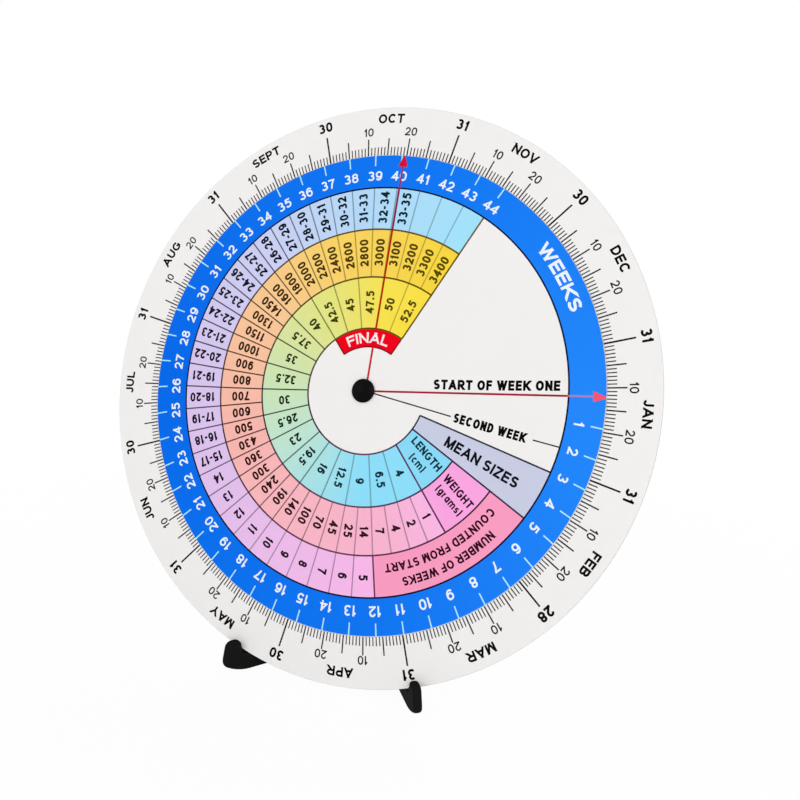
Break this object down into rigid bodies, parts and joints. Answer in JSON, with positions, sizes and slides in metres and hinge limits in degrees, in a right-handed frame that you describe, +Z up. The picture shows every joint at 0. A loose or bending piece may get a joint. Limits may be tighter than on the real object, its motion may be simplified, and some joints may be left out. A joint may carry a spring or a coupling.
{
  "type": "wheel chart on folding easel",
  "caption": "Round two-disc week chart with a turning dial held by a snap rivet, leaning in the notches of a small folding two-leg easel.",
  "frame": {"origin": "on the ground, under the middle of the whole object's box", "axes": "+Z up, +X to the right as the printed face is read, the chart faces -Y and leans back towards +Y"},
  "size_m": [0.2, 0.0766, 0.19],
  "materials": {
    "white_sheet": "satin printed sheet",
    "rivet_plastic": "gloss",
    "easel_plastic": "satin, moulded"
  },
  "bodies": {
    "easel": {"left_leg": "easel_plastic", "hinge_pin": "easel_plastic"},
    "right_leg": {"right_leg": "easel_plastic"},
    "chart": {"base_disc": "white_sheet", "rivet_post": "rivet_plastic", "rivet_cap": "rivet_plastic"},
    "dial": {"dial_disc": "white_sheet"}
  },
  "joints": [
    {"name": "chart_lift", "type": "slide", "parent": "easel", "child": "chart", "axis": [0, 0, 1], "range_m": [0, 0.2]},
    {"name": "leg_fold", "type": "hinge", "parent": "easel", "child": "right_leg", "pos_m": [0, 0.007, 0], "axis": [0, 0, 1], "range_deg": [-75, 0]},
    {"name": "dial_turn", "type": "hinge", "parent": "chart", "child": "dial", "pos_m": [0, 0.00202, 0.09655], "axis": [0, -0.9336, 0.3584], "continuous": true}
  ],
  "couplings": [
    {"joint": "leg_fold", "follows": "chart_lift", "rad_per_m": -6.544}
  ]
}
